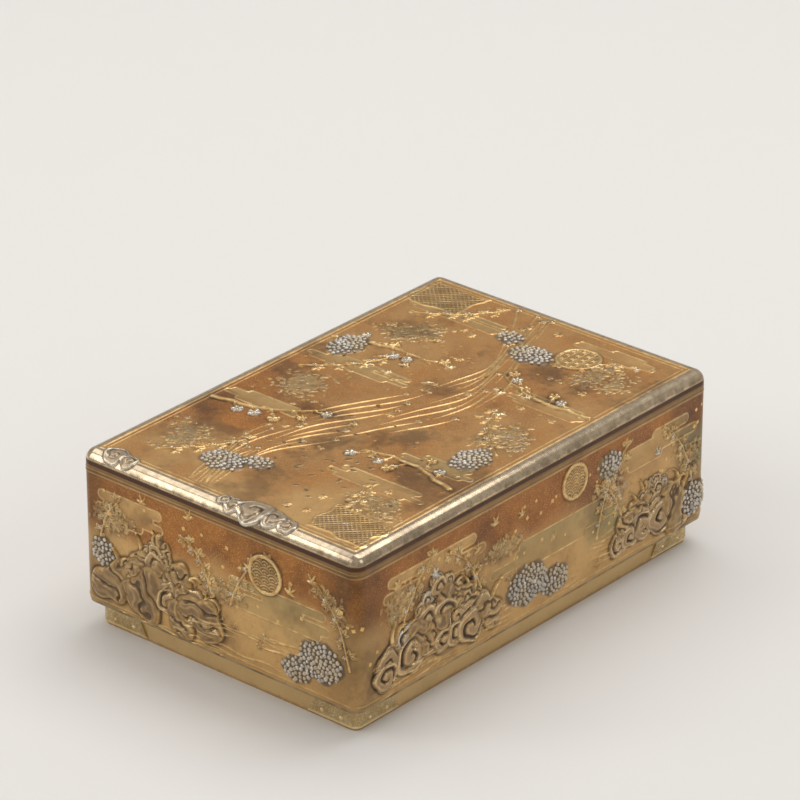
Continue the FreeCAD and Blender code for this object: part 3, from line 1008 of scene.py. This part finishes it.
beds = side_by_side(
    [(44, 23, 9, 7), (34, 17, 6, 4.5), (-50, 30, 5, 5)],
    [(-6, 22, 10, 7), (8, 18, 7, 5), (36, 49, 6, 4.5), (82, 19, 7, 6)],
    [(40, 22, 9, 7), (28, 17, 6, 4.5)],
    [(-4, 22, 10, 7), (10, 18, 7, 5), (-34, 49, 6, 4.5)],
)
HEADS = [(SIDES, *bed) for bed in beds]
beds = (-18, -66, 8, 6), (-8, -60, 5, 4), (42, -14, 6, 8), (-44, 24, 6, 8), (8, 58, 8, 6), (-6, 64, 5, 4)
HEADS += [(TOP, (x, y), wide, tall) for x, y, wide, tall in beds]
for sheets, at, wide, tall in HEADS:
    for sheet, where, x, y in spots(sheets, at, (wide + 3, tall + 3)):
        bulge = 1 + 0.08 * np.cos(5 * np.arctan2(y, x) + at[0])
        r = np.hypot(x / wide, y / tall) / bulge
        bed = 0.9 * np.sqrt(np.clip(1 - 0.9 * r**2, 0, 1))
        # The dark bed is painted shade between the blossoms that are set on it.
        sheet.lay(where, smooth(1.12, 0.96, r), bed, wash=0.85, gold=0.1, silver=0.3, tone=1.0, mist=0.0)


# ---- Cover: the rubbed edge, painted shade, and dirt and wear ----
# The rounded edge is close-laid pale gold, set off from the sides by a black line, a painted dark reflection.
# Handling rubs the high places bright. Dirt and painted shade darken the low places, the ground round the
# raised work, the sides near their upright corners, and the top towards its back.

HIGHEST = 1.6  # relief, in mm
# The black line is a painted dark reflection, laid where the rounded edge starts to turn up from the side.
DARK_REFLECTION_LINE = (SHOULDER - 1.2, SHOULDER - 0.8, SHOULDER + 0.4, SHOULDER + 0.8)  # where it starts and ends
PALE_GOLD = {"tone": 1.0, "gold": 0.8, "silver": 0.6, "wash": 0.0}
GOLD_LINES = ((SHOULDER - 2.1, 0.1, 0.25), (SHOULDER - 3.4, 0.16, 0.4), (SKIRT + 1.2, 0.2, 0.5))


def between(start, full, waning, end, value):
    return smooth(start, full, value) * smooth(end, waning, value)


def edge_of_side(sheet, flat):
    """The rubbed edge with dirt and painted shade on its lower part, the black line of painted dark
    reflection under it, and fine gold lines beside that and along the lower edge.
    """
    up = sheet.up[:, None] + 0.0 * sheet.along
    sheet.lay(EVERYWHERE, smooth(SHOULDER + 0.5, SHOULDER + 1, up) * flat, **PALE_GOLD)
    # Dark patches on the lower part of the rounded edge: painted shade on its underside, with dirt above the
    # black line.
    underside_shade_and_grime = between(SHOULDER + 0.6, SHOULDER + 1, SHOULDER + 1, SHOULDER + 3.2, up)
    sheet.lay(EVERYWHERE, 0.8 * underside_shade_and_grime * smooth(0.42, 0.7, hills(sheet, 2.6, 21)) * flat, wash=0.6)
    shade = between(SHOULDER - 3.6, SHOULDER - 3.1, DARK_REFLECTION_LINE[0], DARK_REFLECTION_LINE[1], up)
    sheet.lay(EVERYWHERE, shade * flat, wash=0.6, tone=0.7)
    # The black line: painted dark reflection at the foot of the rounded edge.
    sheet.lay(EVERYWHERE, between(*DARK_REFLECTION_LINE, up) * flat, wash=1.0, gold=0.0, silver=0.0)
    for at, half, shine in GOLD_LINES:  # where it runs, half its width, and how bright it is
        line = smooth(half + 0.14, half - 0.1, abs(up - at)) * flat
        shown = {"gold": shine, "wash": 0.4 * (1 - shine), "silver": 0.0, "tone": 1.0}
        sheet.lay(EVERYWHERE, line, np.maximum(sheet.height, 0.22), **shown)


def blurred(field, reach):
    for axis in (0, 1):
        padded = np.pad(field, [(reach, reach) if k == axis else (0, 0) for k in (0, 1)], mode="edge")
        shifts = [np.take(padded, np.arange(k, k + field.shape[axis]), axis) for k in range(2 * reach + 1)]
        field = sum(shifts) / len(shifts)
    return field


for sheet in SIDES + TOP:
    np.clip(sheet.height, 0, HIGHEST, out=sheet.height)
    flat = 1 - smooth(0.3, 0.6, sheet.height)
    worn = smooth(0.45, 0.75, hills(sheet, 7, 9) * 0.6 + hills(sheet, 2.3, 10) * 0.4)
    cloud = hills(sheet, 17, 11) * 0.55 + hills(sheet, 6, 12) * 0.3 + hills(sheet, 1.6, 13) * 0.15
    cloud = smooth(0.5, 0.8, cloud)
    if sheet in SIDES:
        edge_of_side(sheet, flat)
        # The sides darken towards their upright corners: painted shade, where they turn away from the light.
        gap = np.minimum(sheet.along - sheet.along[0], sheet.along[-1] - sheet.along)
        more = 0.6 * smooth(24, 3, np.minimum(gap, 20)) * (0.4 + 0.6 * hills(sheet, 9, 14))
        more = more * smooth(60, 56, sheet.up)[:, None]
    else:
        inset = np.minimum(FLAT_X - abs(sheet.along), (FLAT_Y - abs(sheet.up))[:, None])
        sheet.lay(EVERYWHERE, smooth(0.6, 0.25, inset) * flat, **PALE_GOLD)
        # Dirt clouds on the top. Their increase towards the back is painted shade against the stronger
        # reflection there.
        more = (0.18 + 0.12 * smooth(-75, -35, sheet.up)[:, None]) * cloud
    # Low places, and the ground round the raised work, are darkened: painted shade there, with dirt.
    swell = sheet.height - 0.5 * blurred(sheet.height, 2) - 0.5 * blurred(sheet.height, 5)
    low, high = smooth(0.02, 0.3, -swell), smooth(0.03, 0.25, swell)
    dirt_and_shade = 0.75 * low * (0.6 + 0.4 * worn) + 0.12 * worn + 0.32 * cloud + more
    wash, gold = sheet.layers["wash"], sheet.layers["gold"]
    wash += (1 - wash) * dirt_and_shade * (1 - 0.6 * smooth(0.2, 0.6, sheet.height))
    wash *= 1 - 0.7 * high
    gold += (1 - gold) * 0.5 * high * (1 - sheet.layers["silver"])


# ---- Cover: the finished lacquer ----
# Gold powder over gold-flake lacquer, with raised gold and tin-grey silver work, all under a thin clear coat.
# Each sheet becomes a closed skin a quarter of a millimetre thick, with its relief in the mesh.

MIST_GREEN, DIRT_AND_SHADE = srgb(146, 140, 96), srgb(50, 33, 22)
RAISED_GOLD, RAISED_WORN = srgb(240, 208, 146), srgb(206, 160, 96)
TIN_PALE, TIN_GREY = srgb(230, 222, 206), srgb(182, 173, 158)


def gilded_lacquer():
    f = Finish("gilded_lacquer")
    tone, gold, silver = f.split(f.read("lay", 0))
    wash, mist = f.read("lay", 3), f.read("mist", 2)
    flaked, flakes = pear_skin(f)
    powdered, grain = gold_powder(f)
    bare = 1 - tone
    ground = f.mix(tone, flaked, powdered)
    ground = f.mix(mist * 0.75, ground, MIST_GREEN)
    high = f.mix(f.noise(2.5, 3.0).step(0.3, 0.7), RAISED_GOLD, RAISED_WORN)
    pale = f.mix(f.noise(1.6, 3.0).step(0.25, 0.75), TIN_PALE, TIN_GREY)
    colour = f.mix(silver, f.mix(gold, ground, high), pale)
    # The dark wash carries dark lacquer and dirt, and the painted shade, shadow and reflection laid on the
    # sheets.
    colour = f.mix(wash * 0.9, colour, DIRT_AND_SHADE)
    metal = 0.3 + 0.35 * tone + 0.3 * (flakes * bare) + 0.25 * gold + 0.2 * silver
    return f.shade(
        colour,
        metallic=(metal * (1 - 0.7 * wash)).clip(),
        roughness=0.33 + 0.1 * f.noise(5.0) - 0.1 * gold - 0.12 * silver - 0.25 * (gold * silver),
        normal=f.bump(grain * 0.5 + flakes * bare * 0.5, 0.04),
        specular_ior_level=0.3,
        coat_weight=0.25 - 0.25 * wash,
        coat_roughness=0.12,
    )


def skin_mesh(sheet, back_rows):
    """The sheet's relief in front, its plain ground behind in few rows, and edges that close it."""
    points, normal, side, upward = sheet.place(sheet.along, sheet.up)
    over, across = np.gradient(sheet.height, sheet.up, sheet.along)
    lit = normal - side * across[..., None] - upward * over[..., None]
    lit /= np.linalg.norm(lit, axis=-1, keepdims=True)
    front = points + normal * (SKIN + sheet.height)[..., None]
    behind = sheet.place(sheet.along, back_rows)[0]
    places = np.concatenate([front.reshape(-1, 3), behind.reshape(-1, 3)]) * MM

    n, m, k = len(sheet.along), len(sheet.up), len(back_rows)
    near = np.arange(n * m).reshape(m, n)
    far = n * m + np.arange(n * k).reshape(k, n)
    below, above = np.stack([far[0], near[0]]), np.stack([near[-1], far[-1]])
    ends = [np.r_[near[:, 0], far[::-1, 0]], np.r_[far[:, -1], near[::-1, -1]]]
    relief = quads(near)
    faces = [relief, quads(far)[:, ::-1], quads(below), quads(above), *np.stack(ends)[:, None]]

    mesh = bpy.data.meshes.new(sheet.name)
    mesh.from_pydata(places.tolist(), [], [face for part in faces for face in part.tolist()])
    mesh.polygons.foreach_set("use_smooth", np.arange(len(mesh.polygons)) < len(relief))
    normals = np.zeros((len(mesh.loops), 3))
    normals[: relief.size] = lit.reshape(-1, 3)[relief.ravel()]
    mesh.normals_split_custom_set(normals.tolist())

    plain = np.zeros(n * k)
    tone, gold, silver, wash, mist = (np.r_[sheet.layers[layer].ravel(), plain] for layer in LAYERS)
    lay = np.stack([tone, gold, silver, wash], -1).astype(np.float32)
    mesh.attributes.new("lay", "FLOAT_COLOR", "POINT").data.foreach_set("color", lay.ravel())
    # A flat map for textures: the relief fills most of it, and the hidden faces take thin strips below.
    level = np.tile(np.linspace(0, 1, n), m + k)
    rise = np.r_[np.linspace(0, 1, m), np.linspace(0, 1, k)].repeat(n)
    thin = 0.01 * (np.arange(len(places)) < n * m)
    strips = [(level, 0.1 + 0.9 * rise), (level, 0.04 * rise), (level, 0.045 + thin), (level, 0.06 + thin)]
    strips += [(rise, 0.075 + thin), (rise, 0.088 + thin)]
    flat = [np.stack([u[part], v[part]], -1).reshape(-1, 2) for (u, v), part in zip(strips, faces)]
    mesh.uv_layers.new(name="OFBake").data.foreach_set("uv", np.concatenate(flat).astype(np.float32).ravel())
    mesh.attributes.new("mist", "FLOAT", "POINT").data.foreach_set("value", mist.astype(np.float32))
    return mesh


GILDED_LACQUER = gilded_lacquer()
ROUND_OVER = np.r_[SKIRT, np.linspace(SHOULDER, SIDES_TOP, 9)]
for sheet in SIDES + TOP:
    mesh = skin_mesh(sheet, ROUND_OVER if sheet in SIDES else sheet.up[[0, -1]])
    mesh.materials.append(GILDED_LACQUER)
    mesh_object(f"cover_lacquer_{sheet.name}", mesh, "cover")


# ---- Cover: hydrangea blossoms and cut gold ----
# Each head is some dozens of small round blossoms cast in tin-grey silver, set by hand on its dark bed. Small
# squares cut from thick gold foil are scattered along the stream on the top, and all around the sides.

BLOSSOM_SIZE, BLOSSOM_GAP = 1.9, 1.62
SQUARE_SIZE, SQUARE_COUNT = 1.1, 120
GOLDEN_ANGLE = 2.39996  # radians from each blossom to the next, which spreads them evenly


def on_the_skin(sheets, x, up):
    """The point and the outward direction of the finished lacquer at a place."""
    for sheet in sheets:
        along = sheet.along[0] + (x - sheet.along[0]) % sheet.turn if sheet.turn else x
        if sheet.along[0] <= along <= sheet.along[-1] and sheet.up[0] <= up <= sheet.up[-1]:
            points, normal, _, _ = sheet.place(np.array([along]), np.array([up]))
            height = sheet.height[np.searchsorted(sheet.up, up) - 1, np.searchsorted(sheet.along, along) - 1]
            return points[0, 0] + normal[0, 0] * (SKIN + height), normal[0, 0]
    return None


def blossom_shape(tree, size):
    """A low round bead."""
    bead = tree.node("GeometryNodeMeshUVSphere", {}, {"Segments": 8, "Rings": 4, "Radius": 1.0})
    scale = tree.node("ShaderNodeCombineXYZ", {}, {0: size * 0.42, 1: size * 0.42, 2: size * 0.24})
    return tree.node("GeometryNodeTransform", {}, {"Geometry": bead, "Scale": scale})


def square_shape(tree, size):
    """A thin square plate."""
    side = {0: size, 1: size, 2: size * 0.12}
    return tree.node("GeometryNodeMeshCube", {}, {"Size": tree.node("ShaderNodeCombineXYZ", {}, side)})


def laid_out(name, shape, size_mm, seed, placed, material, rounded):
    """Sets one small shape at every place, stood on the lacquer and turned at random, as one plain mesh."""
    group = bpy.data.node_groups.new(name, "GeometryNodeTree")
    for label, kind in (("Points", "Geometry"), ("Size", "Float"), ("Seed", "Int"), ("Finish", "Material")):
        group.interface.new_socket(label, in_out="INPUT", socket_type="NodeSocket" + kind)
    group.interface.new_socket("Pieces", in_out="OUTPUT", socket_type="NodeSocketGeometry")
    tree = Tree(group)
    start, size, luck, finish = (tree.node("NodeGroupInput", {}, {}, k) for k in range(4))

    def chance(low, high):
        values = {2: low, 3: high, "Seed": luck}
        return tree.node("FunctionNodeRandomValue", {"data_type": "FLOAT"}, values, 1)

    facing = tree.node("GeometryNodeInputNamedAttribute", {"data_type": "FLOAT_VECTOR"}, {"Name": "facing"})
    upright = tree.node("FunctionNodeAlignRotationToVector", {"axis": "Z"}, {"Vector": facing})
    spin = tree.node("ShaderNodeCombineXYZ", {}, {"Z": chance(0.0, 2 * math.pi)})
    turned = tree.node("FunctionNodeRotateRotation", {"rotation_space": "LOCAL"}, {0: upright, 1: spin})
    set_out = {"Points": start, "Instance": shape(tree, size), "Rotation": turned, "Scale": chance(0.8, 1.2)}
    pieces = tree.node("GeometryNodeInstanceOnPoints", {}, set_out)
    pieces = tree.node("GeometryNodeRealizeInstances", {}, {0: pieces})
    pieces = tree.node("GeometryNodeSetMaterial", {}, {0: pieces, "Material": finish})
    tree.node("NodeGroupOutput", {}, {0: pieces})

    places, facings = np.array([spot for spot in placed if spot]).swapaxes(0, 1)
    points = bpy.data.meshes.new(name)
    points.from_pydata((places * MM).tolist(), [], [])
    facing = points.attributes.new("facing", "FLOAT_VECTOR", "POINT")
    facing.data.foreach_set("vector", facings.astype(np.float32).ravel())
    layout = mesh_object(name + "_points", points)
    modifier = layout.modifiers.new(name, "NODES")
    modifier.node_group = group
    sockets = {s.name: s.identifier for s in group.interface.items_tree if s.in_out == "INPUT"}
    modifier[sockets["Size"]] = size_mm * MM
    modifier[sockets["Seed"]] = seed
    modifier[sockets["Finish"]] = material
    found = layout.evaluated_get(bpy.context.evaluated_depsgraph_get())
    mesh = bpy.data.meshes.new_from_object(found)
    bpy.data.objects.remove(layout)
    mesh.name = name
    mesh.polygons.foreach_set("use_smooth", [rounded] * len(mesh.polygons))
    mesh_object(name, mesh, "cover")


def tin_silver():
    f = Finish("tin_silver")
    tarnish = f.noise(2.2, 3.0).step(0.3, 0.7)
    colour = f.mix(tarnish, srgb(224, 217, 205), srgb(172, 164, 154))
    colour = f.mix(f.noise(9.0).step(0.45, 0.6) * 0.6, colour, srgb(196, 178, 144))
    return f.shade(colour, metallic=0.6, roughness=0.3 + 0.2 * tarnish, normal=f.bump(f.noise(0.4), 0.05))


def gold_foil():
    f = Finish("gold_foil")
    rubbed = f.noise(3.0, 3.0)
    colour = f.mix(rubbed, srgb(240, 206, 136), srgb(206, 160, 92))
    return f.shade(colour, metallic=0.85, roughness=0.22 + 0.15 * rubbed, normal=f.bump(f.noise(0.5), 0.02))


draw = np.random.default_rng(31)
blossoms = []
for sheets, at, wide, tall in HEADS:
    middling = math.sqrt(wide * tall)
    for k in range(int(wide * tall / 0.72)):
        ring, angle = 0.56 * BLOSSOM_GAP * math.sqrt(k + 0.4), GOLDEN_ANGLE * k + at[0]
        x, y = ring * math.cos(angle) * wide / middling, ring * math.sin(angle) * tall / middling
        if (x / wide) ** 2 + (y / tall) ** 2 < 1:
            x, y = (c + draw.uniform(-0.15, 0.15) for c in (at[0] + x, at[1] + y))
            blossoms.append(on_the_skin(sheets, x, y))
name, slot = "cover_hydrangea_blossoms", "blossom_silver"
laid_out(name, blossom_shape, BLOSSOM_SIZE, 3, blossoms, tin_silver(), True)

squares = []
for k in range(SQUARE_COUNT):
    squares.append(on_the_skin(TOP, draw.normal(-14, 22), draw.normal(30, 28)))
    squares.append(on_the_skin(SIDES, draw.uniform(0, AROUND), 24 + 30 * draw.random() ** 0.8))
name, slot = "cover_gold_squares", "raised_gold"
laid_out(name, square_shape, SQUARE_SIZE, 5, squares, gold_foil(), False)
